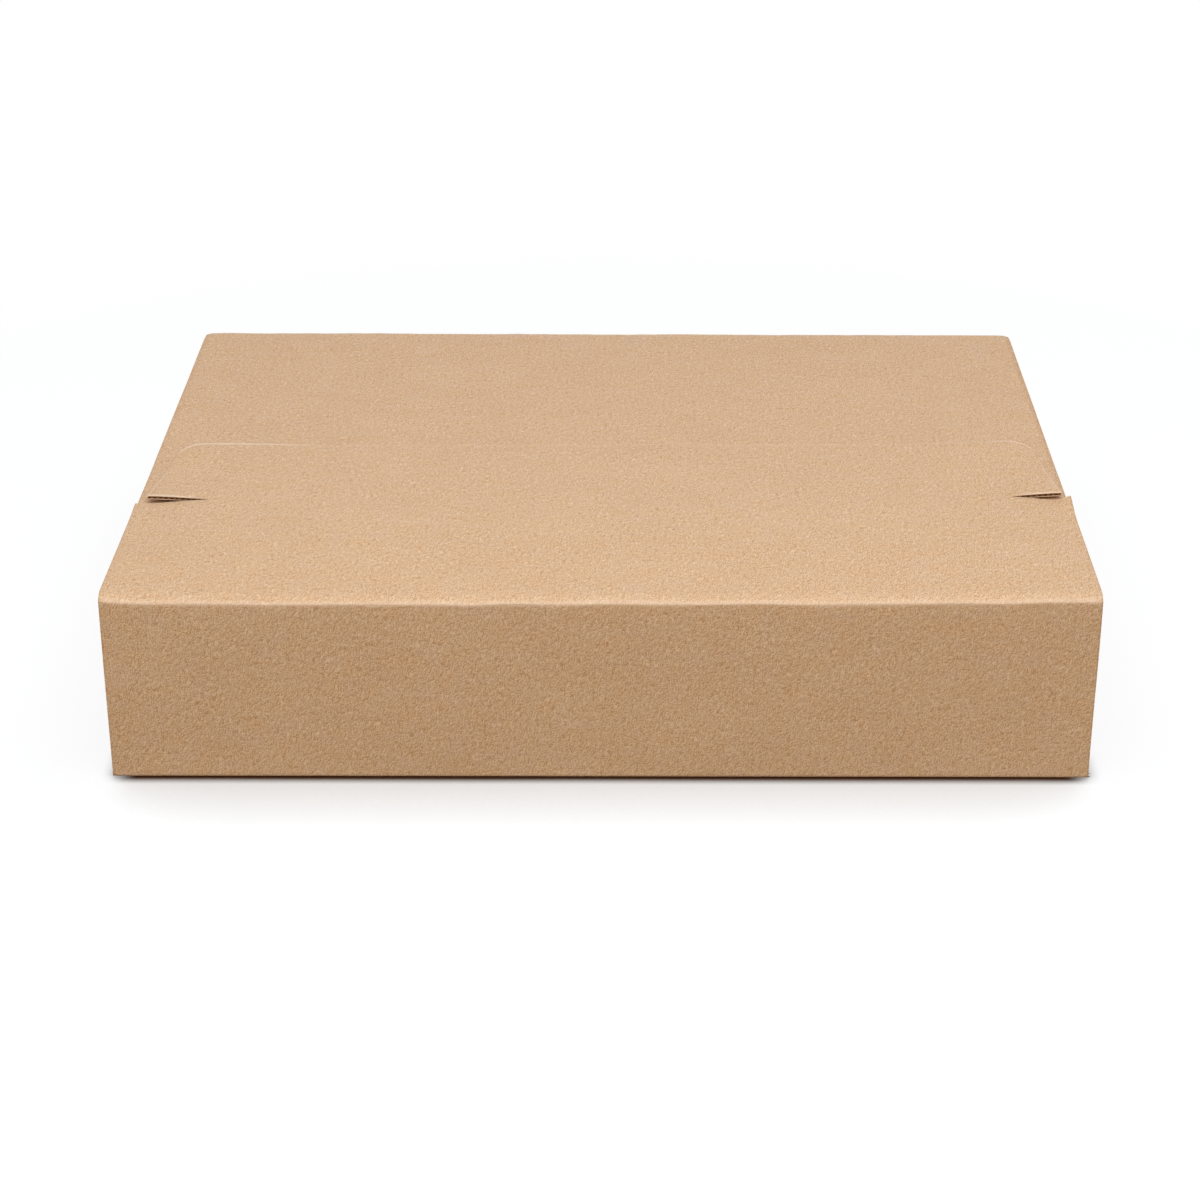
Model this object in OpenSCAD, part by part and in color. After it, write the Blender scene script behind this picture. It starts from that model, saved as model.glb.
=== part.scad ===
// Book wrap mailer, folded up and closed: one die-cut sheet of fine-fluted kraft board.
// Origin: bottom centre. +X to the right, +Y to the rear, +Z up, millimetres.
// The wide front wall faces -Y, and the flutes run from front to rear.

/* [Wrap] */
// Width of the front wall and of the closing flap, left to right
wrap_w = 350; // [260:5:440]
// Depth from the front wall to the rear wall, outside
wrap_d = 280; // [220:5:340]
// Height of the rear top panel's upper face above the table
wrap_h = 71; // [45:1:110]
// How much narrower the base, rear panels and end walls are than the front wall, on each side
rear_inset = 0.8; // [0:0.1:4]

/* [Board] */
// Thickness of the board
board_t = 1.6; // [1.2:0.1:2.4]
// Inside radius of a fold
fold_inner_r = 0.8; // [0.4:0.1:2]
// Gap between a cut edge and the panel that it stands against
edge_gap = 0.4; // [0.3:0.1:2]
// Size of the relief cut where the folds of the base meet at a corner
corner_relief = 0.8; // [0.2:0.1:3]
// Gap between panels that lie on each other
layer_gap = 0.3; // [0.2:0.1:1]
// Thickness of each of the board's two faces
face_ply = 0.2; // [0.15:0.05:0.4]
// Thickness of the wave between the faces
wave_ply = 0.2; // [0.15:0.05:0.4]
// Distance from one flute to the next
flute_pitch = 2.6; // [1.8:0.1:4]
// How far the flutes are open from a cut edge inwards
flute_mouth = 5; // [2:1:20]

/* [Closing flap] */
// Depth of the wide front part, from the front wall to the two side slits
front_part_d = 86; // [60:1:110]
// How much higher the shoulders of the front part lie than the rear top panel
shoulder_lift = 0.4; // [0.2:0.1:1]
// Length of each side slit, inwards from the edge of the flap
slit_depth = 27; // [12:1:45]
// How far a slit opens towards the front at the edge of the flap
slit_front_open = 2; // [0.5:0.1:5]
// How far a slit opens towards the rear at the edge of the flap
slit_rear_open = 1; // [0.2:0.1:4]
// Length of the tongue behind the slits
tongue_len = 57; // [40:1:80]
// How much narrower the tongue is than the front part, on each side, at the slits
tongue_inset = 3.5; // [1:0.5:12]
// How much the tongue narrows on each side from the slits to its rear edge
tongue_taper = 5; // [0:0.5:20]
// Radius of the tongue's rear corners
tongue_corner_r = 16; // [4:1:25]

/* [Seal] */
// Thickness of the glue strip under the tongue
seal_t = 0.15; // [0.1:0.05:0.4]
// Thickness of the release liner that covers the glue strip
liner_t = 0.1; // [0.1:0.05:0.3]
// Width of the glue strip, front to rear
seal_w = 20; // [10:1:30]
// Distance from the strip to the rear edge of the tongue
seal_edge = 8; // [4:1:14]
// Distance from the end of the strip to the side of the tongue
seal_side = 20; // [10:1:60]
// How far the release liner stands out past the glue strip on each long side
liner_lap = 1.5; // [0.5:0.5:3]

/* [Inner flaps] */
// Width of the flaps that fold inwards from the end walls, under the rear top panel
inner_flap_w = 70; // [30:1:100]
// How much each inner flap narrows at its front and rear corners
inner_flap_taper = 9; // [0:1:20]

/* [Hidden] */

// Facets of a full circle in the drawn arcs
$fn = 96;
kraft = "#d3b08a";
fold_r = fold_inner_r + board_t;
body_w = wrap_w - 2 * rear_inset;
front_y = -wrap_d / 2;
rear_y = wrap_d / 2;

// Heights: the closing flap's shoulders, and the tongue, which lies on the rear top panel
shoulder_z = wrap_h + shoulder_lift;
tongue_z = wrap_h + layer_gap + liner_t + seal_t + board_t;
fold_axis_z = shoulder_z - fold_r;
inner_flap_z = wrap_h - board_t - layer_gap;

// The front fold is shared half and half; its crease line is the hinge of the closing flap
fold_split = 135;
crease_y = front_y + fold_r + fold_r * cos(fold_split);
crease_z = fold_axis_z + fold_r * sin(fold_split);
fold_gap_angle = asin(layer_gap / fold_r);

// Half widths of a flute at its wide and at its narrow side
flute_foot = 0.36 * flute_pitch;
flute_tip = 0.08 * flute_pitch;

// Places along Y
fold_end_y = front_y + fold_r;
slit_y = front_y + front_part_d;
tongue_end_y = slit_y + tongue_len;
rear_panel_front_y = slit_y + edge_gap;

// Half widths of the closing flap
flap_x = wrap_w / 2;
slit_tip_x = flap_x - slit_depth;
tongue_x = flap_x - tongue_inset;
tongue_end_x = tongue_x - tongue_taper;

// The tongue's rear corners: centre of the arc, and where the arc meets the slanted side
corner_x = tongue_end_x - tongue_corner_r;
corner_y = tongue_end_y - tongue_corner_r;
side_lean = atan(tongue_taper / tongue_len);
side_x = corner_x + tongue_corner_r * cos(side_lean);
side_y = corner_y + tongue_corner_r * sin(side_lean);

// The flutes at the slits stay clear of the tongue's slanted sides
ear_y = slit_y + slit_rear_open;
ear_mouth_y = ear_y + flute_mouth;
ear_flutes_x = tongue_x - face_ply - flute_mouth * (tongue_x - side_x) / (side_y - ear_y);

// A part of a fold's ring, from angle a to angle b, at most 90 degrees apart
module fold_ring(a, b) {
    reach = 2 * fold_r;
    middle = (a + b) / 2;
    intersection() {
        difference() {
            circle(r = fold_r);
            circle(r = fold_inner_r);
        }
        polygon([
            [0, 0],
            [reach * cos(a), reach * sin(a)],
            [reach * cos(middle), reach * sin(middle)],
            [reach * cos(b), reach * sin(b)]
        ]);
    }
}

// A flat panel between two corners of a section
module panel(low, high) {
    translate(low) square(high - low);
}

// Sweeps a front-to-rear section (y, z) across the width
module across(width) {
    translate([-width / 2, 0, 0]) rotate([90, 0, 90]) linear_extrude(width) children();
}

// Sweeps a side-to-side section (x, z) from y_start to y_end
module along(y_start, y_end) {
    translate([0, y_end, 0]) rotate([90, 0, 0]) linear_extrude(y_end - y_start) children();
}

// Section of one flute, wide side down, in a board whose underside is at 0
module flute() {
    polygon([
        [-flute_foot, face_ply],
        [flute_foot, face_ply],
        [flute_tip, board_t - face_ply - wave_ply],
        [-flute_tip, board_t - face_ply - wave_ply]
    ]);
}

// The flutes on both sides of the wave, as many whole ones as fit from x_start to x_end
module flute_row(x_start, x_end) {
    low = (x_start + flute_foot) / flute_pitch;
    high = (x_end - flute_foot) / flute_pitch;
    for (i = [ceil(low) : floor(high)]) translate([i * flute_pitch, 0]) flute();
    for (i = [ceil(low - 0.5) : floor(high - 0.5)])
        translate([(i + 0.5) * flute_pitch, board_t]) mirror([0, 1]) flute();
}

// Flutes from y_start to y_end in a level board whose upper face is at top_z
module flutes(x_start, x_end, y_start, y_end, top_z) {
    translate([0, 0, top_z - board_t]) along(y_start, y_end) flute_row(x_start, x_end);
}

// The strip of an outline that lies within a flute mouth's depth of its front and rear edges
module edge_strip() {
    for (shift = [-flute_mouth, flute_mouth]) difference() {
        children();
        translate([0, shift]) children();
    }
}

// Section of the front wall with its bottom fold and its half of the top fold
module front_section() {
    translate([fold_end_y, fold_r]) fold_ring(180, 270);
    panel([front_y, fold_r], [front_y + board_t, fold_axis_z]);
    translate([fold_end_y, fold_axis_z]) fold_ring(fold_split + fold_gap_angle, 180);
}

// Section of the base
module base_section() {
    panel([fold_end_y, 0], [rear_y - fold_r, board_t]);
}

// Section of the rear wall with its two folds, and of the rear top panel
module rear_section() {
    translate([rear_y - fold_r, fold_r]) fold_ring(270, 360);
    panel([rear_y - board_t, fold_r], [rear_y, wrap_h - fold_r]);
    translate([rear_y - fold_r, wrap_h - fold_r]) fold_ring(0, 90);
    panel([rear_panel_front_y, wrap_h - board_t], [rear_y - fold_r, wrap_h]);
}

// Section of the right end wall, from the base up to the free edge of its inner flap
module end_section() {
    wall_x = body_w / 2;
    fold_x = wall_x - fold_r;
    translate([fold_x, fold_r]) fold_ring(270, 360);
    panel([wall_x - board_t, fold_r], [wall_x, inner_flap_z - fold_r]);
    translate([fold_x, inner_flap_z - fold_r]) fold_ring(0, 90);
    panel([wall_x - inner_flap_w, inner_flap_z - board_t], [fold_x, inner_flap_z]);
}

// What the end panel keeps, seen from above: the wall and an inner flap with slanted corners
module end_outline() {
    wall_x = body_w / 2;
    free_x = wall_x - inner_flap_w;
    reach = rear_y - board_t - edge_gap;
    polygon([
        [wall_x + 1, -reach],
        [wall_x + 1, reach],
        [wall_x - fold_r, reach],
        [free_x, reach - inner_flap_taper],
        [free_x, inner_flap_taper - reach],
        [wall_x - fold_r, -reach]
    ]);
}

// The cuts that part the base's end fold from the front and rear folds
module corner_reliefs() {
    relief_y = rear_y - fold_r - corner_relief;
    for (y = [-rear_y, relief_y]) translate([body_w / 2 - fold_r, y, -1])
        cube([fold_r + 1, fold_r + corner_relief, 1 + fold_r + corner_relief]);
}

// Right end wall with its inner flap, whose slanted edges show the flutes
module end_panel() {
    flap_x_start = body_w / 2 - inner_flap_w + face_ply;
    difference() {
        intersection() {
            along(front_y, rear_y) end_section();
            linear_extrude(wrap_h) end_outline();
        }
        intersection() {
            flutes(flap_x_start, body_w / 2 - fold_r, front_y, rear_y, inner_flap_z);
            translate([0, 0, inner_flap_z - board_t]) linear_extrude(board_t)
                edge_strip() end_outline();
        }
        corner_reliefs();
    }
}

// The folded sheet: front wall, base, rear wall, rear top panel, end walls and inner flaps
module wrap_sheet() {
    color(kraft) {
        across(wrap_w) front_section();
        across(body_w - 2 * fold_r) base_section();
        difference() {
            across(body_w) rear_section();
            flutes(
                face_ply - body_w / 2, body_w / 2 - face_ply,
                rear_panel_front_y - 1, rear_panel_front_y + flute_mouth, wrap_h
            );
        }
        end_panel();
        mirror([1, 0, 0]) end_panel();
    }
}

// Front part of the closing flap: its middle climbs from the front fold to the tongue's level,
// and its two shoulders stay level and end in front of the rear top panel
module flap_front_part() {
    shoulder_end_y = slit_y - slit_front_open;
    top = [
        [-flap_x, fold_end_y, shoulder_z],
        [flap_x, fold_end_y, shoulder_z],
        [flap_x, shoulder_end_y, shoulder_z],
        [slit_tip_x, slit_y, tongue_z],
        [-slit_tip_x, slit_y, tongue_z],
        [-flap_x, shoulder_end_y, shoulder_z]
    ];
    bottom = [for (p = top) p - [0, 0, board_t]];
    count = len(top);
    sides = [for (i = [0 : count - 1]) let (j = (i + 1) % count) [i, i + count, j + count, j]];
    polyhedron(
        points = concat(top, bottom),
        faces = concat(
            [[0, 4, 3, 1], [1, 3, 2], [0, 5, 4]],
            [[6, 7, 9, 10], [7, 8, 9], [6, 10, 11]],
            sides
        )
    );
}

// Outline of the tongue, seen from above
module tongue_outline() {
    polygon([
        [-slit_tip_x, slit_y],
        [slit_tip_x, slit_y],
        [tongue_x, ear_y],
        [side_x, side_y],
        [corner_x, corner_y],
        [corner_x, tongue_end_y],
        [-corner_x, tongue_end_y],
        [-corner_x, corner_y],
        [-side_x, side_y],
        [-tongue_x, ear_y]
    ]);
    for (side = [-1, 1]) translate([side * corner_x, corner_y]) circle(r = tongue_corner_r);
}

// The tongue, with the flutes open along its rear edge and along the slits
module tongue() {
    difference() {
        translate([0, 0, tongue_z - board_t]) linear_extrude(board_t) tongue_outline();
        intersection() {
            flutes(-tongue_end_x, tongue_end_x, ear_mouth_y, tongue_end_y + 1, tongue_z);
            translate([0, 0, tongue_z - board_t]) linear_extrude(board_t)
                edge_strip() tongue_outline();
        }
        flutes(slit_tip_x, ear_flutes_x, slit_y, ear_mouth_y, tongue_z);
        flutes(-ear_flutes_x, -slit_tip_x, slit_y, ear_mouth_y, tongue_z);
    }
}

// The part of the sheet that opens: its half of the front fold, the front part and the tongue
module closing_flap() {
    color(kraft) {
        across(wrap_w) translate([fold_end_y, fold_axis_z]) fold_ring(90, fold_split);
        flap_front_part();
        tongue();
    }
}

// A strip across the underside of the tongue, grown by lap on its long sides
module tongue_strip(top_z, thickness, lap) {
    strip_x = tongue_end_x - seal_side;
    translate([-strip_x, tongue_end_y - seal_edge - seal_w - lap, top_z - thickness])
        cube([2 * strip_x, seal_w + 2 * lap, thickness]);
}

// Glue strip under the tongue
module seal_strip() {
    color("#e8e2cf") tongue_strip(tongue_z - board_t, seal_t, 0);
}

// Release liner over the glue strip
module release_liner() {
    color("#f2efe6") tongue_strip(tongue_z - board_t - seal_t, liner_t, liner_lap);
}

wrap_sheet();
closing_flap();
seal_strip();
release_liner();
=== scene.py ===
"""Looks of a book wrap mailer: one die-cut sheet of fine-fluted kraft board, folded up and closed.

The sheet is laid out flat as a blank, u across and v along it, and fold_up() carries each point of
the blank to its place in the mailer. Lengths of the board and the blank are in millimetres.
"""

import math

import bmesh
import bpy
import numpy as np
from mathutils import Matrix, Vector


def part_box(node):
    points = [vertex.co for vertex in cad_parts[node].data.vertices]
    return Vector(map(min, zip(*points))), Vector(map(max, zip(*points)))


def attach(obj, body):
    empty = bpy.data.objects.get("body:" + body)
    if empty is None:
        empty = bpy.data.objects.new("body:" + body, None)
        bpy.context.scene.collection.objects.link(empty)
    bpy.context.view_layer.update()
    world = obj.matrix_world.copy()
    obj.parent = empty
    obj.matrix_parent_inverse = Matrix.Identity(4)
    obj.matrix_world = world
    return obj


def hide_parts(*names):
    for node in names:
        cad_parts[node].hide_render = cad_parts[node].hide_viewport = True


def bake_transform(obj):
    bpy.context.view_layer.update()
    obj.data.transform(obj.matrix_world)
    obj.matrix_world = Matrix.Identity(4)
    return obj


MM = 0.001

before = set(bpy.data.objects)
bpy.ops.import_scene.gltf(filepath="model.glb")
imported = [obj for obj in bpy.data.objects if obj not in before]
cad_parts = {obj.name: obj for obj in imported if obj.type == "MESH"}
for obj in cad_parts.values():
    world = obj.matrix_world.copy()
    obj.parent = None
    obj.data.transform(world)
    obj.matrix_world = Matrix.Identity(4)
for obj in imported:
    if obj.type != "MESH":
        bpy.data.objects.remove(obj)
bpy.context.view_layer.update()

# The mailer's size, from the frame
wrap_low, wrap_high = (np.array(corner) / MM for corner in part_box("wrap_sheet"))
flap_high = np.array(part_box("closing_flap")[1]) / MM
strip_low, strip_high = (np.array(corner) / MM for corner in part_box("seal_strip"))
cover_low, cover_high = (np.array(corner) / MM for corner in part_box("release_liner"))
front_y = wrap_low[1]
rear_y = wrap_high[1]
panel_z = wrap_high[2]
flap_x = flap_high[0]
tongue_z = flap_high[2]
tongue_end_y = flap_high[1]

# The board: two papers with a wave between them
board_t = 1.6
liner_ply = 0.28
inner_ply = 0.42
wave_ply = 0.2
flute_pitch = 2.1
groove_depth = 2.8
edge_wear = 0.14

# Narrow stretches of mesh along the cut edges, which carry their worn edge and the rims' painted
# highlight and darkening
rim_width = 0.8
side_rim_width = 1.1
rear_rim_width = 2.2

# The folds
fold_r = 2.4
crease_r = 0.9
crown_r = 6.5
bottom_r = 1.1
crease_turn = 45

# The wrap behind and below the front wall
rear_inset = 0.8
end_relief = 0.8
end_gap = 2.0
end_flap_z = 69.1
end_flap_width = 70
end_flap_taper = 9
lock_gap = 0.5

# The closing flap, as it was found: its lock line runs back to the right. Pairs are left, right
shoulder_z = 71.4
slit_y = -54
lock_skew = 0.013
slit_tips = (-146.9, 152.8)
slit_front_open = 2.0
slit_rear_open = 1.0
tongue_sides = (-170.9, 172.0)
tongue_taper = 5
tongue_corner = (10, 15)
tongue_short = 2.5
ear_height = 0.85
corner_curls = (0.8, 2.7)
tongue_corner_lifts = (1.1, 1.5)
side_spreads = (0.5, 0.1)
fold_sag = 1.1
crease_sags = (1.4, 0.4)
wall_narrowings = (0.35, 0.85)
bottom_bow = 0.1

mesh_step = 4.0
wave_step = 0.2


def smooth(value, low, high):
    """0 below low, 1 above high, and a soft step between them."""
    t = np.clip((value - low) / (high - low), 0, 1)
    return t * t * (3 - 2 * t)


def by_side(u, pair):
    """The first of a pair left of the middle, the second right of it."""
    return np.where(u > 0, pair[1], pair[0])


def ripple(u, v, wavelength, seed):
    """Soft uneven waves between about -1 and 1, in every direction, about a wavelength long."""
    draw = np.random.RandomState(seed)
    total = np.zeros(np.broadcast(u, v).shape)
    for _ in range(9):
        angle = draw.uniform(0, 2 * np.pi)
        reach = 2 * np.pi / (wavelength * draw.uniform(0.7, 1.6))
        phase = draw.uniform(0, 2 * np.pi)
        total = total + np.sin(reach * (u * np.cos(angle) + v * np.sin(angle)) + phase)
    return total / 3.6


class FoldLine:
    """The sheet's outer face seen from its edge: flats and bends, one after the other."""

    def __init__(self, start, heading, moves):
        distance, places, headings = [0.0], [np.array(start, float)], [float(heading)]
        self.marks = [0.0]
        for length, turn in moves:
            count = 1 if turn == 0 else 16
            for _ in range(count):
                middle = math.radians(headings[-1] + turn / count / 2)
                chord = length / count
                if turn:
                    half = math.radians(turn / count / 2)
                    chord = chord * math.sin(half) / half
                places.append(places[-1] + chord * np.array([math.cos(middle), math.sin(middle)]))
                distance.append(distance[-1] + length / count)
                headings.append(headings[-1] + turn / count)
            self.marks.append(distance[-1])
        self.distance = np.array(distance)
        self.places = np.array(places)
        self.headings = np.radians(headings)

    def at(self, distance, depth):
        """Place at a distance along the line, that deep below the outer face."""
        heading = np.interp(distance, self.distance, self.headings)
        across = np.interp(distance, self.distance, self.places[:, 0])
        up = np.interp(distance, self.distance, self.places[:, 1])
        return across - depth * np.sin(heading), up + depth * np.cos(heading)


def bend(radius, turn=90):
    return radius * math.radians(turn), turn


# Both radii of the front fold together reach this far back and down
front_fold_y = crease_r * (1 - math.cos(math.radians(crease_turn)))
front_fold_y += crown_r * math.sin(math.radians(crease_turn))
front_fold_z = crease_r * math.sin(math.radians(crease_turn))
front_fold_z += crown_r * (1 - math.cos(math.radians(crease_turn)))
flap_start_y = front_y + front_fold_y

wrap_line = FoldLine((tongue_end_y, shoulder_z), 180, [
    (tongue_end_y - flap_start_y, 0),
    bend(crown_r, 90 - crease_turn),
    bend(crease_r, crease_turn),
    (shoulder_z - front_fold_z - bottom_r, 0),
    bend(bottom_r),
    (rear_y - front_y - bottom_r - fold_r, 0),
    bend(fold_r),
    (panel_z - 2 * fold_r, 0),
    bend(fold_r),
    (rear_y - fold_r - slit_y + 2 * slit_front_open, 0),
])
(_, v_crown, v_crease, v_wall, v_wall_end, v_base, v_base_end,
 v_rear, v_rear_end, v_panel, v_panel_end) = wrap_line.marks
v_slit = tongue_end_y - slit_y
v_lock = v_panel + rear_y - fold_r - slit_y

body_x = flap_x - rear_inset
end_fold_u = body_x - fold_r
end_line = FoldLine((end_fold_u, 0), 0, [
    bend(fold_r),
    (end_flap_z - 2 * fold_r, 0),
    bend(fold_r),
    (end_flap_width - fold_r, 0),
])
end_marks = [end_fold_u + mark for mark in end_line.marks]


def slit_tip(u):
    """Distance from the middle to the tip of the slit on that side."""
    return np.abs(by_side(u, slit_tips))


def slit_share(u):
    """0 at the slit's tip, 1 where it opens at the side of the flap."""
    return np.clip((np.abs(u) - slit_tip(u)) / (flap_x - slit_tip(u)), 0, 1)


def flap_rise(u, v):
    """Height of the closing flap's outer face above its shoulders."""
    full = tongue_z - shoulder_z
    y = tongue_end_y - v
    share = np.clip((y - flap_start_y) / (slit_y - flap_start_y), 0, 1)
    climb = full * share * (2 - share)
    tip = slit_tip(u)
    shoulder = full * (flap_x - np.abs(u)) / (flap_x - tip)
    softness = 0.28
    low = -softness * np.log(np.exp(-climb / softness) + np.exp(-shoulder / softness))
    dip = 0.1
    low = np.maximum(low, -dip) + dip * smooth(climb, 0, 0.2)
    from_tip, past_slit = np.abs(np.abs(u) - tip), np.maximum(v_slit - v, 0)
    pucker = 0.1 * np.exp(-from_tip / 6) * np.exp(-past_slit / 6)
    return np.where(v >= v_slit, low, full - pucker)


def flap_shift(u, v):
    """How the closing flap lies off its true place: x, y and z shifts."""
    y = tongue_end_y - v
    reach = smooth(y, flap_start_y, slit_y)
    skew = lock_skew * (1 - 0.6 * smooth(y, slit_y + 10, tongue_end_y))
    shift_x = reach * by_side(u, side_spreads) * np.abs(u) / flap_x
    shift_y = reach * skew * u
    tongue = v < v_slit

    # The ears beside the slits stand up, the corners in front of them curl
    ear = smooth(np.abs(u), slit_tip(u) - 4, tongue_sides[1])
    near_slit = np.exp(-((v - v_slit) / 16) ** 2)
    ear_lift = np.where(tongue, ear_height * ear * near_slit, 0)
    curl = by_side(u, corner_curls) * smooth(np.abs(u), flap_x - 5.5, flap_x + 0.3)
    curl = np.where(tongue, 0, curl * np.exp(-((v - v_slit) / 12) ** 2))
    corner = smooth(np.abs(u), 100, 160) * (1 - smooth(v, 6, 40))
    corner_lift = by_side(u, tongue_corner_lifts) * corner

    # The front of the flap sags, and the crease more and less evenly
    sag = fold_sag * (1 - (u / flap_x) ** 2) * np.exp(-((y - front_y) / 45) ** 2)
    toward_end = (u / flap_x) ** 2 - (u / flap_x) ** 16
    waves = 0.3 * ripple(u, 0, 30, 21) + 0.25 * ripple(u, 0, 80, 22)
    crease = by_side(u, crease_sags) * toward_end + waves * (1 - (u / flap_x) ** 8)
    sag = sag + crease * np.exp(-((y - front_y) / 14) ** 2)
    shift_z = ear_lift + curl + corner_lift - sag * smooth(v_crease + 3 - v, 0, 3)
    return shift_x, shift_y, shift_z


def unevenness(u, v):
    """How far the outer face stands out from flat: slow waves, crushed flutes, worn rear corners."""
    slow = 0.16 * ripple(u, v, 90, 3) + 0.05 * ripple(u, v, 34, 5)
    on_base = smooth(v, v_wall_end - 12, v_base) * (1 - smooth(v, v_base_end, v_rear + 12))
    slow = slow * (1 - on_base)
    crushed = np.exp(-((v - v_crease) / 2.6) ** 2) + np.exp(-((v - v_rear_end - 2) / 3.0) ** 2)
    dented = 0.1 * crushed * (ripple(u, v * 0.3, 14, 8) - 0.6)
    rear_corner = smooth(np.abs(u), body_x - 2.0, body_x) * np.exp(-((v - v_panel) / 4) ** 2)
    return slow + dented - 0.5 * rear_corner


def front_lift(u, v):
    """The bottom front fold bows up off the table between its corners."""
    bow = bottom_bow * (1 - np.abs(u / flap_x) ** 8)
    return bow * smooth(v, v_wall_end - 14, v_wall_end) * (1 - smooth(v, v_base, v_base + 45))


def fold_up(u, v, depth):
    """Carries points of the blank to the folded mailer, in millimetres."""
    u, v, depth = np.broadcast_arrays(
        np.asarray(u, float), np.asarray(v, float), np.asarray(depth, float)
    )
    beyond = np.abs(u) - end_fold_u
    on_end = (beyond > 1e-6) & (v > v_base) & (v < v_base_end)
    raised = depth - unevenness(u, v)
    y, z = wrap_line.at(v, raised)
    x = u.copy()

    end_raised = depth - 0.12 * ripple(u, v, 60, 11) * smooth(beyond, 2, 30)
    end_x, end_z = end_line.at(np.maximum(beyond, 0), end_raised)
    base_y, _ = wrap_line.at(v, 0)
    x = np.where(on_end, np.sign(u) * end_x, x)
    y = np.where(on_end, base_y, y)
    z = np.where(on_end, end_z, z)

    on_flap = v < v_wall
    shift_x, shift_y, shift_z = flap_shift(u, np.minimum(v, v_crease))
    fade = 1 - smooth(v, v_crown, v_wall)
    x = x + np.where(on_flap, shift_x, 0)
    y = y + np.where(on_flap, shift_y * fade, 0)
    z = z + np.where(on_flap, flap_rise(u, np.minimum(v, v_crown)), 0)
    hang = smooth(v_wall_end - v, 0, v_wall_end - v_wall)
    z = z + np.where(v < v_base, shift_z * np.where(v < v_crown, 1, hang), 0)

    z = z + np.where(on_end, 0, front_lift(u, v))
    narrow = smooth(v, v_wall, v_wall_end) * (v < v_base)
    x = x - narrow * by_side(u, wall_narrowings) * u / flap_x
    rear = smooth(v, v_rear, v_rear_end) * (1 - smooth(v, v_panel, v_panel_end))
    y = y - rear * 0.8 * u / flap_x
    z = z - rear * 0.3 * u / flap_x
    return np.stack([x, y, z], -1)


def places(start, end, step=mesh_step, rim=rim_width):
    """Places from start to end about a step apart, with a narrow stretch at both ends."""
    sign = 1 if end > start else -1
    count = max(1, round((abs(end - start) - 2 * rim) / step))
    inner = np.linspace(start + sign * rim, end - sign * rim, count + 1)
    return np.concatenate([[start], inner, [end]]) if rim else inner


def ruled(first, last, rows):
    """Grid of points of the blank between two curves with as many points."""
    first, last = np.asarray(first, float), np.asarray(last, float)
    return first[None] * (1 - rows[:, None, None]) + last[None] * rows[:, None, None]


def grid(u_places, v_places):
    return np.stack(np.meshgrid(u_places, v_places), -1)


def fold_rows(*marks):
    """Rows across the bends between marks, close together."""
    rows = [np.linspace(a, b, 7) for a, b in zip(marks, marks[1:])]
    return np.unique(np.concatenate(rows))


def flap_columns():
    left = places(-flap_x, slit_tips[0], 2)
    middle = places(slit_tips[0], slit_tips[1], 3, 0)
    right = places(slit_tips[1], flap_x, 2)
    return left, middle, right


def front_blank():
    """Closing flap, front fold, front wall and front bottom fold."""
    left, middle, right = flap_columns()
    columns = np.concatenate([left[:-1], middle, right[1:]])
    shoulder_edge = np.stack([columns, v_slit + slit_front_open * slit_share(columns)], -1)
    fold_start = np.stack([columns, np.full(len(columns), v_crown)], -1)
    rows = places(0, 1, mesh_step / (v_crown - v_slit), rim_width / (v_crown - v_slit))
    shoulder_part = ruled(shoulder_edge, fold_start, rows)

    wall_rows = np.concatenate([
        fold_rows(v_crown, v_crease, v_wall),
        places(v_wall, v_wall_end)[1:-1],
        fold_rows(v_wall_end, v_base),
    ])
    wall_part = grid(columns, wall_rows)
    return [shoulder_part, wall_part, tongue_blank(middle, len(left), len(right))]


def tongue_blank(middle, left_count, right_count):
    """The tapered tongue with its round rear corners."""
    slit_edge, rear_edge = [], []
    corner_u, corner_v = tongue_corner
    corners = [abs(side) - tongue_taper - corner_u for side in tongue_sides]
    lean = math.degrees(math.atan(tongue_taper / v_slit * corner_v / corner_u))
    for side, count, tip, corner in zip((-1, 1), (left_count, right_count), slit_tips, corners):
        outer_x = abs(by_side(side, tongue_sides))
        rim_share = side_rim_width / (outer_x - abs(tip))
        share = np.append(np.linspace(0, 1 - rim_share, count - 1), 1)[1:]
        near = np.stack([
            side * (abs(tip) + share * (outer_x - abs(tip))), v_slit - slit_rear_open * share
        ], -1)
        angle = np.radians(90 - share * (90 - lean))
        far = np.stack([
            side * (corner + corner_u * np.cos(angle)),
            tongue_short + corner_v * (1 - np.sin(angle)),
        ], -1)
        slit_edge.append(near)
        rear_edge.append(far)
    near_middle = np.stack([middle, np.full(len(middle), v_slit)], -1)
    stretch = np.linspace(-corners[0], corners[1], len(middle))
    far_middle = np.stack([stretch, np.full(len(middle), tongue_short)], -1)
    slit_line = np.concatenate([slit_edge[0][::-1], near_middle, slit_edge[1]])
    rear_line = np.concatenate([rear_edge[0][::-1], far_middle, rear_edge[1]])
    rows = places(0, 1, mesh_step / v_slit, rear_rim_width / v_slit)
    return ruled(slit_line, rear_line, rows)


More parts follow.
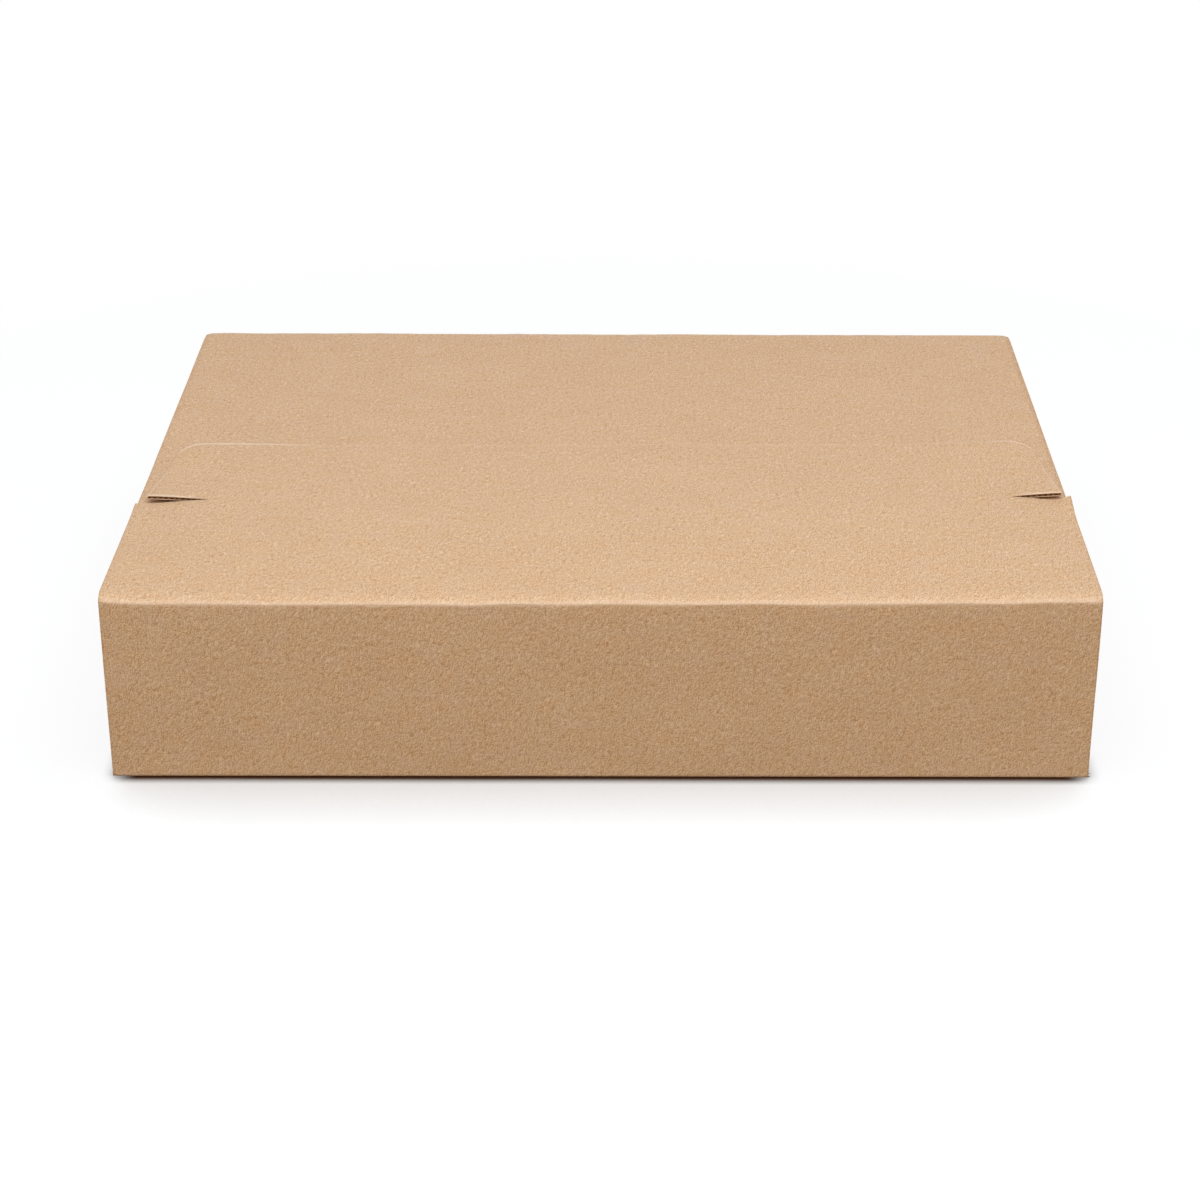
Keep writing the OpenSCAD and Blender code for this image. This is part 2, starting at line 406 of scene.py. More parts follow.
def body_blank():
    """Base, rear wall, rear top panel, end walls and their inner flaps."""
    base_columns = places(-end_fold_u, end_fold_u, 6)
    end_half = (v_base_end - v_base) / 2 - end_relief
    middle_v = (v_base + v_base_end) / 2
    shares = np.concatenate([[-1], np.linspace(-0.995, 0.995, 52), [1]])
    base_rows = np.concatenate([[v_base], middle_v + shares * end_half, [v_base_end]])
    base = grid(base_columns, base_rows)

    rear_columns = np.concatenate([[-body_x], base_columns, [body_x]])
    rear_rows = np.concatenate([
        fold_rows(v_base_end, v_rear),
        places(v_rear, v_rear_end, 6)[1:-1],
        fold_rows(v_rear_end, v_panel),
    ])
    rear = grid(rear_columns, rear_rows)
    lock_edge = v_lock - lock_gap - lock_skew * rear_columns
    lock_edge = lock_edge + slit_front_open * slit_share(rear_columns)
    panel = ruled(
        rear[-1], np.stack([rear_columns, lock_edge], -1),
        places(0, 1, mesh_step / (v_lock - v_panel), rim_width / (v_lock - v_panel)),
    )
    patches = [base, rear, panel]

    end_u = np.concatenate([
        fold_rows(end_marks[0], end_marks[1]),
        places(end_marks[1], end_marks[2], 6)[1:-1],
        fold_rows(end_marks[2], end_marks[3]),
        places(end_marks[3], end_marks[4], 5)[1:],
    ])
    full_half = (rear_y - front_y) / 2 - end_gap - 0.05
    half = end_half + (full_half - end_half) * smooth(end_u, end_marks[0] + 1, end_marks[1] + 2)
    half = half - end_flap_taper * np.clip(
        (end_u - end_marks[3]) / (end_marks[4] - end_marks[3]), 0, 1
    )
    half = np.minimum(half, (v_base_end - v_base) / 2 - 0.02)

    for side in (-1, 1):
        u_grid = side * np.repeat(end_u[None], len(shares), 0)
        v_grid = middle_v + shares[:, None] * half[None]
        patches.append(np.stack([u_grid, v_grid], -1))
    return patches


def join_patches(patches):
    """One flat mesh of all patches, welded where they meet: points, and quads that turn left."""
    weld = 1e-3
    points = np.concatenate([patch.reshape(-1, 2) for patch in patches])
    quads = []
    start = 0
    for patch in patches:
        rows, columns = patch.shape[:2]
        number = start + np.arange(rows * columns).reshape(rows, columns)
        quads.append(np.stack([
            number[:-1, :-1], number[:-1, 1:], number[1:, 1:], number[1:, :-1]
        ], -1).reshape(-1, 4))
        start += rows * columns
    quads = np.concatenate(quads)
    cells = np.round(points / weld + 0.137).astype(np.int64)
    _, first, merged = np.unique(cells, axis=0, return_index=True, return_inverse=True)
    points = points[first]
    quads = merged.reshape(-1)[quads]
    corner = points[quads]
    spread_a, spread_b = corner[:, 2] - corner[:, 0], corner[:, 3] - corner[:, 1]
    area = spread_a[:, 0] * spread_b[:, 1] - spread_a[:, 1] * spread_b[:, 0]
    quads[area < 0] = quads[area < 0][:, ::-1]
    return points, quads


def rim_loops(quads):
    """Closed loops of point numbers round the sheet, which lies on their left."""
    following = {}
    for a, b in zip(quads.ravel(), np.roll(quads, -1, 1).ravel()):
        following[(int(a), int(b))] = True
    after = {a: b for a, b in following if (b, a) not in following}
    loops = []
    while after:
        start, following_point = next(iter(after.items()))
        loop = [start]
        while following_point != start:
            loop.append(following_point)
            following_point = after.pop(following_point)
        after.pop(start)
        loops.append(np.array(loop))
    return loops


def inwards(points, loop, distance):
    """The loop's points moved into the sheet by a distance."""
    here = points[loop]
    before = here - points[np.roll(loop, 1)]
    behind = points[np.roll(loop, -1)] - here
    before /= np.linalg.norm(before, axis=1, keepdims=True)
    behind /= np.linalg.norm(behind, axis=1, keepdims=True)
    turned = before + behind
    left = np.stack([-turned[:, 1], turned[:, 0]], -1)
    size = np.linalg.norm(turned, axis=1, keepdims=True)
    stretch = 1 / np.maximum((size / 2) ** 2, 0.5)
    at_slit_tip = size < 0.4
    move = np.where(at_slit_tip, before, left * stretch / np.maximum(size, 1e-9) * (size / 2))
    return here + distance * move


OUTER, INNER, CUT, HOLLOW, WAVE = range(5)


def painted_rim_highlight_and_darkening(u, v):
    """Painted highlight and darkening along the rim of the outer face: a pale painted highlight on
    the tongue and the slit lips, where the board stands free and lifted, and darker along the other
    cut rims, more so on the right.
    """
    rear_line = 0.75 * np.where(u < 0, smooth(-u, 92, 145), smooth(u, 146, 160))
    side_line = 0.85 - 0.4 * smooth(v, 20, v_slit - 15)
    tongue = np.where(v < tongue_short + 3, np.maximum(rear_line, 0.12), side_line)
    slit_line = 0.75 * smooth(slit_share(u), 0.05, 0.35)
    shoulder = np.where(v < v_slit + 2.5, slit_line, np.where(u > 0, -0.75, -0.4))
    return np.where(v < v_slit - 1.2, tongue, shoulder)


def make_object(name, blank, quads, slots, materials, rim=None):
    """Mesh object from points of the blank (u, v, depth), folded up."""
    mesh = bpy.data.meshes.new(name)
    folded = fold_up(blank[:, 0], blank[:, 1], blank[:, 2]) * MM
    mesh.from_pydata(folded.tolist(), [], [tuple(quad) for quad in quads])
    attribute = mesh.attributes.new("blank", "FLOAT_VECTOR", "POINT")
    attribute.data.foreach_set("vector", blank.astype(np.float32).ravel())
    # The rim values are a painted highlight above zero and darker paper below zero
    if rim is not None:
        wear_and_painted_highlight = mesh.attributes.new("rim", "FLOAT", "POINT")
        wear_and_painted_highlight.data.foreach_set("value", rim.astype(np.float32))
    for material in materials:
        mesh.materials.append(material)
    mesh.polygons.foreach_set("material_index", np.asarray(slots, np.int32))
    mesh.polygons.foreach_set("use_smooth", np.ones(len(quads), bool))
    work = bmesh.new()
    work.from_mesh(mesh)
    bmesh.ops.recalc_face_normals(work, faces=work.faces)
    work.to_mesh(mesh)
    work.free()
    sharp_turn = math.radians(50)
    mesh.set_sharp_from_angle(angle=sharp_turn)
    thing = bpy.data.objects.new(name, mesh)
    bpy.context.scene.collection.objects.link(thing)
    return thing


def board(name, patches, materials):
    """Fluted board cut to a blank: two faces, cut edges with a groove, and the wave in the groove."""
    flat, quads = join_patches(patches)
    count = len(flat)
    loops = rim_loops(quads)
    wear_and_painted_highlight = np.zeros(count)
    for loop in loops:
        wear_and_painted_highlight[loop] = edge_wear
    outer = np.column_stack([flat, wear_and_painted_highlight])
    inner = np.column_stack([flat, board_t - wear_and_painted_highlight])
    blank = [outer, inner]
    faces = [quads, quads[:, ::-1] + count]
    slots = [np.full(len(quads), OUTER), np.full(len(quads), INNER)]
    start = 2 * count
    for loop in loops:
        size = len(loop)
        edge = flat[loop]
        floor = inwards(flat, loop, groove_depth)
        rings = [
            np.column_stack([edge, np.full(size, liner_ply)]),
            np.column_stack([floor, np.full(size, liner_ply)]),
            np.column_stack([floor, np.full(size, board_t - inner_ply)]),
            np.column_stack([edge, np.full(size, board_t - inner_ply)]),
        ]
        numbers = [loop]
        for ring in rings:
            blank.append(ring)
            numbers.append(start + np.arange(size))
            start += size
        numbers.append(loop + count)
        for ring_slot, a, b in zip((CUT, HOLLOW, HOLLOW, HOLLOW, CUT), numbers, numbers[1:]):
            faces.append(np.stack([a, np.roll(a, -1), np.roll(b, -1), b], -1))
            slots.append(np.full(size, ring_slot))
        wave, wave_faces = wave_strip(edge, floor)
        blank.append(wave)
        faces.append(wave_faces + start)
        slots.append(np.full(len(wave_faces), WAVE))
        start += len(wave)
    blank = np.concatenate(blank)
    rim = np.zeros(len(blank))
    for loop in loops:
        rim[loop] = painted_rim_highlight_and_darkening(flat[loop, 0], flat[loop, 1])
    return make_object(
        name, blank, np.concatenate(faces), np.concatenate(slots), materials, rim
    )


def wave_depth(u):
    """Depth of the wave's middle below the outer face."""
    swing = (board_t - liner_ply - inner_ply - wave_ply) / 2
    return liner_ply + wave_ply / 2 + swing * (1 - np.cos(2 * np.pi * u / flute_pitch))


def wave_strip(edge, floor):
    """The wave between the faces, as it shows along one loop of cut edge."""
    set_back = 0.07
    edge_points, floor_points = [], []
    for a, b, c, d in zip(edge, np.roll(edge, -1, 0), floor, np.roll(floor, -1, 0)):
        hidden = abs(a[1] - v_base) < 0.1 and abs(b[1] - v_base) < 0.1
        across = 0 if hidden else max(abs(b[0] - a[0]), abs(d[0] - c[0]))
        steps = max(1, math.ceil(across / wave_step), math.ceil(abs(b[1] - a[1]) / 8))
        for t in np.arange(steps) / steps:
            edge_points.append(a + (b - a) * t)
            floor_points.append(c + (d - c) * t)
    edge_points, floor_points = np.array(edge_points), np.array(floor_points)
    front = edge_points + (floor_points - edge_points) * set_back
    back = floor_points
    size = len(front)
    rings = []
    for place, side in ((front, -0.5), (front, 0.5), (back, 0.5), (back, -0.5)):
        rings.append(np.column_stack([place, wave_depth(place[:, 0]) + side * wave_ply]))
    number = np.arange(size)
    faces = []
    for k in range(4):
        a, b = k * size + number, (k + 1) % 4 * size + number
        faces.append(np.stack([a, np.roll(a, -1), np.roll(b, -1), b], -1))
    return np.concatenate(rings), np.concatenate(faces)


def strip_under_tongue(name, low, high, top_depth, thickness, material):
    """A thin strip on the underside of the tongue."""
    u_places = places(low[0], high[0], 6, 0.3)
    v_places = places(tongue_end_y - high[1], tongue_end_y - low[1], 3, 0.3)
    flat, quads = join_patches([grid(u_places, v_places)])
    count = len(flat)
    top = np.column_stack([flat, np.full(count, top_depth)])
    bottom = np.column_stack([flat, np.full(count, top_depth + thickness)])
    faces = [quads, quads[:, ::-1] + count]
    for loop in rim_loops(quads):
        following = np.roll(loop, -1)
        faces.append(np.stack([loop, following, following + count, loop + count], -1))
    faces = np.concatenate(faces)
    return make_object(
        name, np.concatenate([top, bottom]), faces, np.zeros(len(faces)), [material]
    )


# Materials


def node(tree, kind, **values):
    """A node with its settings by name, and its inputs by socket name or number in a dict."""
    made = tree.nodes.new(kind)
    for socket, value in values.pop("inputs", {}).items():
        if isinstance(value, bpy.types.NodeSocket):
            tree.links.new(value, made.inputs[socket])
        else:
            made.inputs[socket].default_value = value
    for setting, value in values.items():
        setattr(made, setting, value)
    return made


def math_node(tree, operation, a, b=0.0, c=0.0):
    made = tree.nodes.new("ShaderNodeMath")
    made.operation = operation
    for socket, value in zip(made.inputs, (a, b, c)):
        if isinstance(value, bpy.types.NodeSocket):
            tree.links.new(value, socket)
        else:
            socket.default_value = value
    return made.outputs[0]


def soft_step(tree, value, low, high, start=0.0, end=1.0):
    """From start where the value is low to end where it is high, with a soft step between."""
    step = node(tree, "ShaderNodeMapRange", interpolation_type="SMOOTHSTEP")
    tree.links.new(value, step.inputs["Value"])
    for socket, setting in zip(("From Min", "From Max", "To Min", "To Max"), (low, high, start, end)):
        step.inputs[socket].default_value = setting
    return step.outputs["Result"]


def colour_mix(tree, share, first, second):
    """The first colour where share is 0, the second where it is 1."""
    mix = node(tree, "ShaderNodeMix", data_type="RGBA")
    for socket, value in ((0, share), (6, first), (7, second)):
        if isinstance(value, bpy.types.NodeSocket):
            tree.links.new(value, mix.inputs[socket])
        else:
            mix.inputs[socket].default_value = (*value, 1)
    return mix.outputs[2]


def scaled(tree, vector, scale, offset=(0, 0, 0)):
    """A vector times a scale for each axis, plus an offset."""
    made = tree.nodes.new("ShaderNodeVectorMath")
    made.operation = "MULTIPLY_ADD"
    tree.links.new(vector, made.inputs[0])
    made.inputs[1].default_value = scale
    made.inputs[2].default_value = offset
    return made.outputs[0]


def noise(tree, vector, detail=2.0, roughness=0.5, distortion=0.0):
    made = tree.nodes.new("ShaderNodeTexNoise")
    tree.links.new(vector, made.inputs["Vector"])
    made.inputs["Scale"].default_value = 1.0
    made.inputs["Detail"].default_value = detail
    made.inputs["Roughness"].default_value = roughness
    made.inputs["Distortion"].default_value = distortion
    return made.outputs["Fac"]


def new_group(name, inputs, outputs):
    """A shader node group; inputs are (name, kind, value) and outputs (name, kind)."""
    group = bpy.data.node_groups.new(name, "ShaderNodeTree")
    for socket, kind, value in inputs:
        made = group.interface.new_socket(socket, in_out="INPUT", socket_type=kind)
        if value is not None:
            made.default_value = value
    for socket, kind in outputs:
        group.interface.new_socket(socket, in_out="OUTPUT", socket_type=kind)
    start = group.nodes.new("NodeGroupInput")
    end = group.nodes.new("NodeGroupOutput")
    return group, start.outputs, end.inputs


# How far the darkest and lightest fibres are from the paper's colour, in red, green and blue
FIBRE_SPREAD = (0.19, 0.30, 0.40)

# Pale paper: its fibres pulled loose at folds, and the colour of the painted highlight on lifted rims
# and along the folds
PALE_PAPER_AND_HIGHLIGHT = (0.80, 0.63, 0.48)

FLOAT = "NodeSocketFloat"
VECTOR = "NodeSocketVector"


def fibre_group():
    """Paper fibres pressed into the face: curly strands with painted shade beside them, cloudy
    patches and height.
    """
    group, given, result = new_group(
        "paper fibres",
        [("Blank", VECTOR, None), ("Strands", FLOAT, 1.0), ("Clouds", FLOAT, 1.0)],
        [("Tone", FLOAT), ("Warmth", FLOAT), ("Height", FLOAT)],
    )
    blank = given["Blank"]
    size = (0.75, 0.52, 0.3)
    fine = noise(group, scaled(group, blank, (1.5, 1.0, 1), (5, 3, 1)), 2.0, 0.6)
    strands = math_node(group, "MULTIPLY", math_node(group, "SUBTRACT", fine, 0.5), 1.2)
    # Light strands, each with a darker copy set just beside it: the copies are painted shade that
    # makes the strands look raised
    for layer, (light, shift) in enumerate(((1.0, (0, 0, 0)), (-0.9, (0.16, 0.15, 0)))):
        field = noise(group, scaled(group, blank, size, shift), 1.0, 0.5, 1.3)
        ridge = math_node(group, "ABSOLUTE", math_node(group, "SUBTRACT", field, 0.5))
        thread = soft_step(group, ridge, 0.0, 0.085, 1.0, 0.0)
        broken = noise(group, scaled(group, blank, (0.65, 0.5, 0.3), (11 + 9 * layer, 4, 8)), 1.0)
        broken = math_node(group, "MULTIPLY_ADD", broken, 2.4, -0.6)
        short = math_node(group, "MULTIPLY", thread, broken)
        strands = math_node(group, "MULTIPLY_ADD", short, light, strands)
    clouds = noise(group, scaled(group, blank, (0.03, 0.045, 0.03), (3, 9, 2)), 4.0, 0.62, 0.4)
    clouds = math_node(group, "SUBTRACT", clouds, 0.5)
    tone = math_node(group, "MULTIPLY", strands, given["Strands"])
    tone = math_node(group, "MULTIPLY_ADD", clouds, given["Clouds"], tone)
    warm = noise(group, scaled(group, blank, (0.11, 0.16, 0.1), (7, 1, 4)), 3.0, 0.6, 0.5)
    group.links.new(tone, result["Tone"])
    group.links.new(math_node(group, "SUBTRACT", warm, 0.5), result["Warmth"])
    group.links.new(strands, result["Height"])
    return group


def fold_group():
    """Stretched paper and painted highlight along a fold: a soft pale band that is palest at the
    fold, and ends there.
    """
    group, given, result = new_group(
        "stretched fold with painted highlight", [("Blank", VECTOR, None), ("Place", FLOAT, 0.0)], [("Mask", FLOAT)]
    )
    uneven = noise(group, scaled(group, given["Blank"], (0.09, 0.03, 0), (0, 0, 3)), 3.0, 0.65)
    v = node(group, "ShaderNodeSeparateXYZ", inputs={"Vector": given["Blank"]}).outputs["Y"]
    past = math_node(group, "SUBTRACT", v, given["Place"])
    past = math_node(group, "MULTIPLY_ADD", uneven, 2.4, math_node(group, "SUBTRACT", past, 1.2))
    wide = soft_step(group, past, -8.0, -1.2, 0.0, 0.25)
    narrow = soft_step(group, past, -1.8, -0.5, 0.0, 0.75)
    end = soft_step(group, past, 0.7, 1.6, 0.0, -1.0)
    band = math_node(group, "ADD", math_node(group, "ADD", wide, narrow), end)
    group.links.new(band, result["Mask"])
    return group


def fleck_group():
    """Rare bright and dark flecks in the paper, as masks."""
    group, given, result = new_group(
        "paper flecks",
        [("Blank", VECTOR, None), ("Amount", FLOAT, 0.1)],
        [("Bright", FLOAT), ("Dark", FLOAT)],
    )
    for socket, scale, offset in (("Bright", 0.19, (2, 5, 1)), ("Dark", 0.23, (40, 8, 3))):
        cells = group.nodes.new("ShaderNodeTexVoronoi")
        cells.inputs["Scale"].default_value = 1.0
        place = scaled(group, given["Blank"], (scale, scale * 1.3, scale), offset)
        group.links.new(place, cells.inputs["Vector"])
        near = math_node(group, "LESS_THAN", cells.outputs["Distance"], 0.075)
        chance = node(group, "ShaderNodeSeparateColor", inputs={"Color": cells.outputs["Color"]})
        kept = math_node(group, "LESS_THAN", chance.outputs["Red"], given["Amount"])
        group.links.new(math_node(group, "MULTIPLY", near, kept), result[socket])
    return group


def paper_colour(tree, paper, share):
    """Kraft colour between the dark fibres, share 0, and the light ones, share 1."""
    dark = [channel * (1 - spread) for channel, spread in zip(paper, FIBRE_SPREAD)]
    light = [channel * (1 + spread) for channel, spread in zip(paper, FIBRE_SPREAD)]
    return colour_mix(tree, share, dark, light)


def new_paper(name, strands, clouds):
    """A new material with its fibres: material, shader, place on the blank, fibres, and share."""
    material = bpy.data.materials.new(name)
    material.use_nodes = True
    tree = material.node_tree
    blank = node(tree, "ShaderNodeAttribute", attribute_name="blank").outputs["Vector"]
    grain = node(tree, "ShaderNodeGroup", node_tree=fibres)
    tree.links.new(blank, grain.inputs["Blank"])
    grain.inputs["Strands"].default_value = strands
    grain.inputs["Clouds"].default_value = clouds
    share = math_node(tree, "ADD", 0.5, grain.outputs["Tone"])
    return material, tree.nodes["Principled BSDF"], blank, grain, share


def liner_material(name, paper, strands, clouds, fleck_amount):
    """Kraft paper of the board's faces."""
    material, shader, blank, grain, share = new_paper(name, strands, clouds)
    tree = material.node_tree
    specks = node(tree, "ShaderNodeGroup", node_tree=flecks)
    tree.links.new(blank, specks.inputs["Blank"])
    specks.inputs["Amount"].default_value = fleck_amount

    # Rims with values below zero, along most cut edges besides the tongue's and the slits' lips, and
    # dark flecks darken the fibres
    rim = node(tree, "ShaderNodeAttribute", attribute_name="rim").outputs["Fac"]
    crushed = math_node(tree, "MINIMUM", rim, 0.0)
    share = math_node(tree, "MULTIPLY_ADD", crushed, 0.8, share)
    share = math_node(tree, "MULTIPLY_ADD", specks.outputs["Dark"], -0.4, share)
    colour = paper_colour(tree, paper, share)
    hue = node(tree, "ShaderNodeHueSaturation")
    tree.links.new(colour, hue.inputs["Color"])
    warmth = math_node(tree, "MULTIPLY_ADD", grain.outputs["Warmth"], 0.25, 1.0)
    tree.links.new(warmth, hue.inputs["Saturation"])

    # Lifted rims get a painted highlight, the folds a pale band of stretched paper and painted
    # highlight, and bright flecks show pale paper
    pale = math_node(tree, "MULTIPLY_ADD", grain.outputs["Warmth"], 2.2, 1.15)
    pale = math_node(tree, "MULTIPLY", rim, pale)
    for fold_v, fold_share in ((v_crease, 0.36), (v_panel, 0.10), (v_base, 0.12)):
        wear_and_painted_highlight = node(tree, "ShaderNodeGroup", node_tree=folds)
        tree.links.new(blank, wear_and_painted_highlight.inputs["Blank"])
        wear_and_painted_highlight.inputs["Place"].default_value = fold_v
        pale = math_node(tree, "MULTIPLY_ADD", wear_and_painted_highlight.outputs["Mask"], fold_share, pale)
    pale = math_node(tree, "MULTIPLY_ADD", specks.outputs["Bright"], 0.5, pale)
    pale = node(tree, "ShaderNodeClamp", inputs={"Value": pale}).outputs[0]
    colour_with_pale_paper_and_highlights = colour_mix(tree, pale, hue.outputs["Color"], PALE_PAPER_AND_HIGHLIGHT)
    tree.links.new(colour_with_pale_paper_and_highlights, shader.inputs["Base Color"])

    shader.inputs["Roughness"].default_value = 0.6
    shader.inputs["Specular IOR Level"].default_value = 0.42
    bump = node(tree, "ShaderNodeBump")
    bump.inputs["Strength"].default_value = 0.35
    bump.inputs["Distance"].default_value = 0.00016
    tree.links.new(grain.outputs["Height"], bump.inputs["Height"])
    tree.links.new(bump.outputs["Normal"], shader.inputs["Normal"])
    return material


def paper_edge_material(name, paper, strands):
    """Raw paper where the board was cut, and the wave inside it."""
    material, shader, _, _, share = new_paper(name, strands, clouds=0.3)
    colour = paper_colour(material.node_tree, paper, share)
    material.node_tree.links.new(colour, shader.inputs["Base Color"])
    shader.inputs["Roughness"].default_value = 0.9
    shader.inputs["Specular IOR Level"].default_value = 0.15
    return material


def strip_material(name, paper, roughness, coat):
    """The glue strip and its cover: smooth, with faint fibres."""
    material, shader, _, _, share = new_paper(name, strands=0.03, clouds=0.15)
    colour = paper_colour(material.node_tree, paper, share)
    material.node_tree.links.new(colour, shader.inputs["Base Color"])
    shader.inputs["Roughness"].default_value = roughness
    shader.inputs["Coat Weight"].default_value = coat
    shader.inputs["Coat Roughness"].default_value = 0.25
    return material


fibres = fibre_group()
flecks = fleck_group()
folds = fold_group()
outer_kraft = liner_material(
    "outer kraft", paper=(0.60, 0.391, 0.23), strands=2.0, clouds=0.4, fleck_amount=0.04
)
inner_kraft = liner_material(
    "inner kraft", paper=(0.57, 0.365, 0.21), strands=2.0, clouds=0.6, fleck_amount=0.12
)
cut_paper = paper_edge_material("cut paper", paper=(0.70, 0.49, 0.31), strands=0.2)
# Painted shade: the hollows' paper is coloured dark for the shade deep in the cut edges
painted_shade_hollow_paper = paper_edge_material("paper in the hollows, painted dark as shade", paper=(0.15, 0.068, 0.032), strands=0.2)
wave_paper = paper_edge_material("fluted paper", paper=(0.44, 0.21, 0.095), strands=0.4)
board_materials = [outer_kraft, inner_kraft, cut_paper, painted_shade_hollow_paper, wave_paper]

glue = strip_material("glue", paper=(0.72, 0.66, 0.50), roughness=0.35, coat=0.3)
cover_paper = strip_material("cover paper", paper=(0.70, 0.67, 0.59), roughness=0.45, coat=0.15)

# Pieces
front = board("front_wall_and_closing_flap", front_blank(), board_materials)
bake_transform(front)
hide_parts("closing_flap", "wrap_sheet")

body = board("base_rear_and_end_panels", body_blank(), board_materials)
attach(body, "wrap")
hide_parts("wrap_sheet")

strip_t = strip_high[2] - strip_low[2]
cover_t = cover_high[2] - cover_low[2]
glue_strip = strip_under_tongue("glue_strip", strip_low, strip_high, board_t, strip_t, glue)
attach(glue_strip, "flap")
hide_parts("seal_strip")

liner = strip_under_tongue(
    "release_liner_strip", cover_low, cover_high, board_t + strip_t, cover_t, cover_paper
)
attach(liner, "flap")
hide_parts("release_liner")


# Camera, at the photograph's angle
camera_place = Vector((11.7, -1064.3, 486.9)) * MM
camera_pitch = math.radians(24.289)
camera_yaw = math.radians(-0.718)
camera_roll = math.radians(0.239)
camera_lens = 87.45


def make_camera():
    ahead = Vector((
        math.sin(camera_yaw) * math.cos(camera_pitch),
        math.cos(camera_yaw) * math.cos(camera_pitch),
        -math.sin(camera_pitch),
    ))
    level_right = Vector((math.cos(camera_yaw), -math.sin(camera_yaw), 0))
    level_down = ahead.cross(level_right)
    right = math.cos(camera_roll) * level_right + math.sin(camera_roll) * level_down
    down = -math.sin(camera_roll) * level_right + math.cos(camera_roll) * level_down
    data = bpy.data.cameras.new("camera")
    data.lens = camera_lens
    data.sensor_width = 36
    data.clip_end = 50
    camera = bpy.data.objects.new("camera", data)
    turn = Matrix((right, -down, -ahead)).transposed().to_4x4()
    camera.matrix_world = Matrix.Translation(camera_place) @ turn
    bpy.context.scene.collection.objects.link(camera)
    bpy.context.scene.camera = camera


def make_lamp(name, place, target, size, power, colour):
    data = bpy.data.lights.new(name, "AREA")
    data.shape = "RECTANGLE"
    data.size, data.size_y = size
    data.energy = power
    data.color = colour
    lamp = bpy.data.objects.new(name, data)
    lamp.location = place
    aim = Vector(target) - Vector(place)
    lamp.rotation_euler = aim.to_track_quat("-Z", "Y").to_euler()
    bpy.context.scene.collection.objects.link(lamp)
    return lamp


def make_world():
    """Soft light, stronger from behind the mailer; the camera sees plain white."""
    world = bpy.data.worlds.new("studio")
    bpy.context.scene.world = world
    world.use_nodes = True
    tree = world.node_tree
    tree.nodes.clear()
    rays = tree.nodes.new("ShaderNodeLightPath")
    direction = tree.nodes.new("ShaderNodeTexCoord").outputs["Generated"]
    backward = node(tree, "ShaderNodeSeparateXYZ", inputs={"Vector": direction}).outputs["Y"]
    behind = soft_step(tree, backward, -0.5, 0.6, 0.15, 1.0)
    lit_share = math_node(tree, "MULTIPLY_ADD", rays.outputs["Is Glossy Ray"], 0.25, 0.75)
    level = math_node(tree, "MULTIPLY", behind, lit_share)
    soft = node(tree, "ShaderNodeBackground", inputs={"Color": (1, 1, 1, 1), "Strength": level})
    white = node(tree, "ShaderNodeBackground", inputs={"Color": (1, 1, 1, 1), "Strength": 1.0})
    mix = tree.nodes.new("ShaderNodeMixShader")
    tree.links.new(rays.outputs["Is Camera Ray"], mix.inputs[0])
    tree.links.new(soft.outputs[0], mix.inputs[1])
    tree.links.new(white.outputs[0], mix.inputs[2])
    end = tree.nodes.new("ShaderNodeOutputWorld")
    tree.links.new(mix.outputs[0], end.inputs["Surface"])


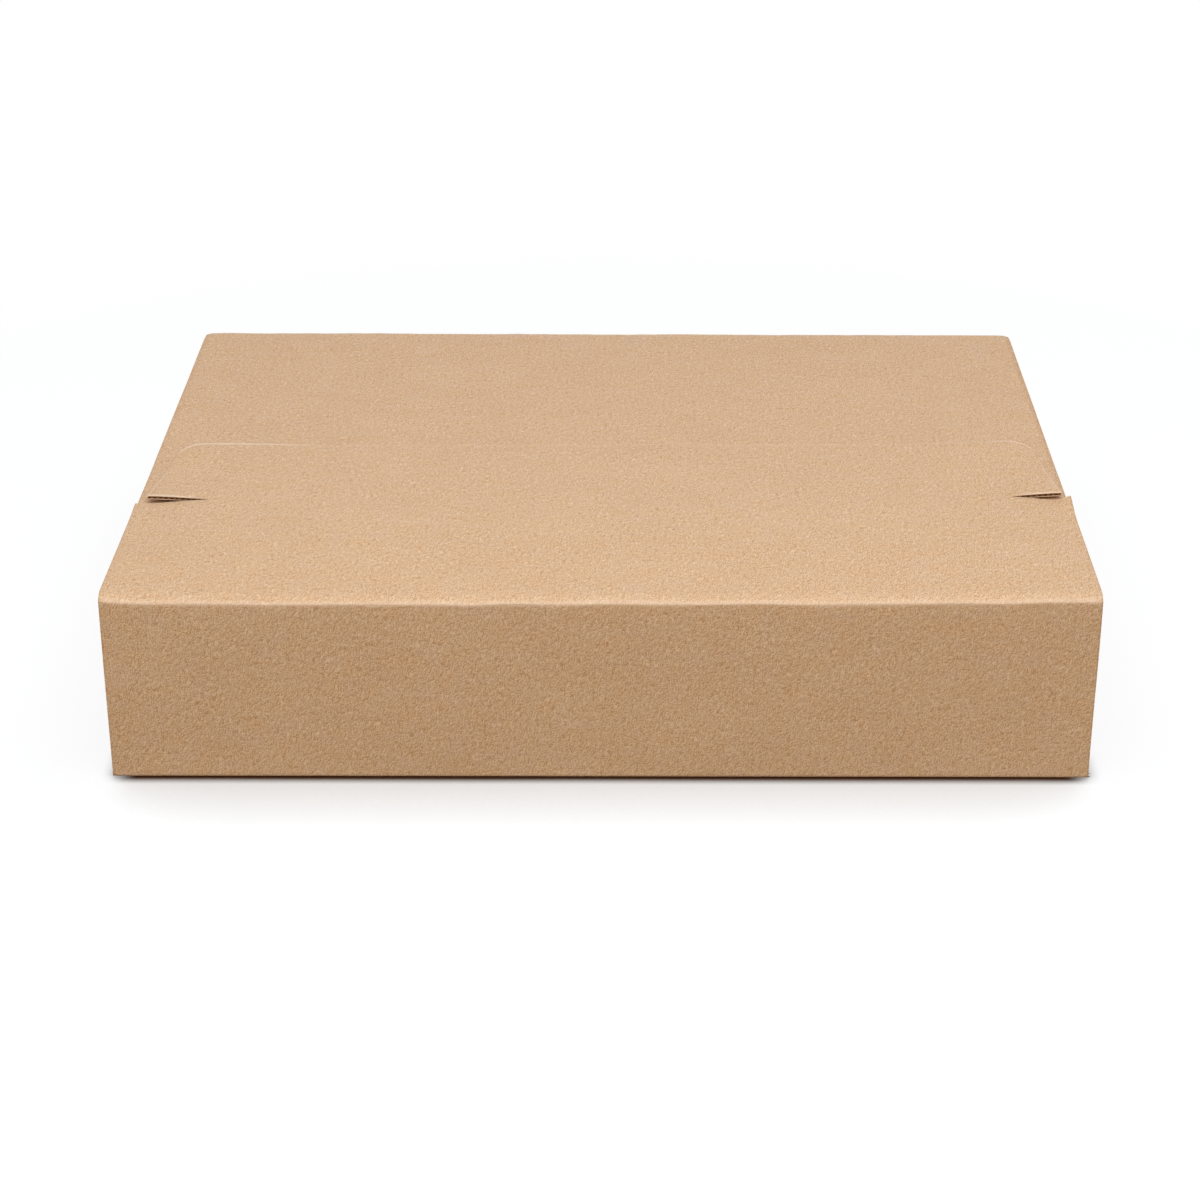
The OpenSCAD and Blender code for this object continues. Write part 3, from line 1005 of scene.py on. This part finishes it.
def make_floor():
    """White floor: it keeps the mailer's soft shadow in front, with contact shade painted into its
    colour from ambient occlusion; beside and behind the mailer it is painted mostly plain white over
    the shadow, and further off it turns plain white.
    """
    mesh = bpy.data.meshes.new("floor")
    reach = 12
    corners = [(-reach, -reach, 0), (reach, -reach, 0), (reach, reach, 0), (-reach, reach, 0)]
    mesh.from_pydata(corners, [], [(0, 1, 2, 3)])
    floor = bpy.data.objects.new("floor", mesh)
    bpy.context.scene.collection.objects.link(floor)
    material = bpy.data.materials.new("white floor")
    material.use_nodes = True
    tree = material.node_tree
    tree.nodes.clear()
    rays = tree.nodes.new("ShaderNodeLightPath")
    # Painted contact shade: ambient occlusion darkens the floor's colour toward brown close to the
    # mailer
    contact = node(tree, "ShaderNodeAmbientOcclusion", samples=16, inputs={"Distance": 0.0056})
    contact = math_node(tree, "MULTIPLY_ADD", contact.outputs["AO"], 2.5, -1.5)
    contact = math_node(tree, "MAXIMUM", contact, 0.0)
    wide = node(tree, "ShaderNodeAmbientOcclusion", samples=8, inputs={"Distance": 0.06})
    wide = math_node(tree, "MULTIPLY_ADD", wide.outputs["AO"], 0.6, 0.4)
    openness = math_node(tree, "MULTIPLY", contact, wide)
    shade = colour_mix(tree, openness, (0.05, 0.02, 0.008), (0.92, 0.965, 1))
    diffuse = node(tree, "ShaderNodeBsdfDiffuse", inputs={"Color": shade})
    glow = node(tree, "ShaderNodeEmission", inputs={"Color": shade, "Strength": 0.12})
    both = tree.nodes.new("ShaderNodeAddShader")
    tree.links.new(diffuse.outputs[0], both.inputs[0])
    tree.links.new(glow.outputs[0], both.inputs[1])

    place = tree.nodes.new("ShaderNodeNewGeometry").outputs["Position"]
    away = node(tree, "ShaderNodeVectorMath", operation="LENGTH", inputs={0: place}).outputs["Value"]
    far = soft_step(tree, away, 0.26, 0.5)
    across = node(tree, "ShaderNodeSeparateXYZ", inputs={"Vector": place}).outputs
    # Beside and behind the mailer, plain white is painted mostly over its shadow
    beside = soft_step(tree, math_node(tree, "ABSOLUTE", across["X"]), 0.166, 0.181)
    behind = soft_step(tree, across["Y"], -0.139, -0.12)
    clear = math_node(tree, "MAXIMUM", beside, behind)
    clear = math_node(tree, "MULTIPLY", clear, 0.88)
    clear = math_node(tree, "MAXIMUM", clear, far)
    white = node(tree, "ShaderNodeEmission", inputs={"Color": (1, 1, 1, 1), "Strength": 1.0})
    seen = tree.nodes.new("ShaderNodeMixShader")
    tree.links.new(clear, seen.inputs[0])
    tree.links.new(both.outputs[0], seen.inputs[1])
    tree.links.new(white.outputs[0], seen.inputs[2])

    dim = node(tree, "ShaderNodeBsdfDiffuse", inputs={"Color": (0.2, 0.17, 0.14, 1)})
    mix = tree.nodes.new("ShaderNodeMixShader")
    tree.links.new(rays.outputs["Is Camera Ray"], mix.inputs[0])
    tree.links.new(dim.outputs[0], mix.inputs[1])
    tree.links.new(seen.outputs[0], mix.inputs[2])
    end = tree.nodes.new("ShaderNodeOutputMaterial")
    tree.links.new(mix.outputs[0], end.inputs["Surface"])
    mesh.materials.append(material)


make_camera()
make_lamp(
    "key", place=(0.1, -0.58, 1.25), target=(0, 0, 0), size=(1.5, 1.2), power=15.0,
    colour=(1.0, 1.0, 1.0),
)
make_lamp(
    "fill", place=(0, -2.2, 0.7), target=(0, 0, 0.03), size=(2.4, 1.2), power=21.8,
    colour=(1.0, 0.90, 0.78),
)
make_world()
make_floor()
bpy.context.scene.view_settings.view_transform = "Standard"
